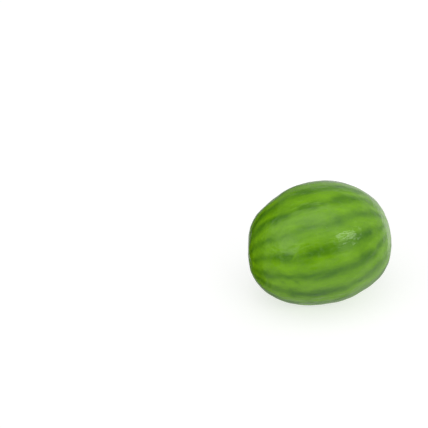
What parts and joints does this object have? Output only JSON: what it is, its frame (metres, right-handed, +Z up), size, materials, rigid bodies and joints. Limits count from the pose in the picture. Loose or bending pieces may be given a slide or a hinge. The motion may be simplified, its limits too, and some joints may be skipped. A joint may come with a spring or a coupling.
{
  "type": "bubble gum ball",
  "caption": "Oval ball of bubble gum with a thin glossy sugar shell striped lengthwise in dark and light green like a tiny watermelon, lying on a small flat spot.",
  "frame": {"origin": "on the surface that the ball lies on, under the middle of its outline", "axes": "+Z up; the ball's long axis lies in the XZ plane with its +X end raised by 10.8 degrees; -Y is the front"},
  "size_m": [0.028, 0.0234, 0.0232],
  "materials": {
    "sugar_shell": "polished sugar shell, softly glossy, dark green lengthwise stripes on light green"
  },
  "bodies": {
    "root": {"gum_ball": "sugar_shell"}
  },
  "joints": []
}
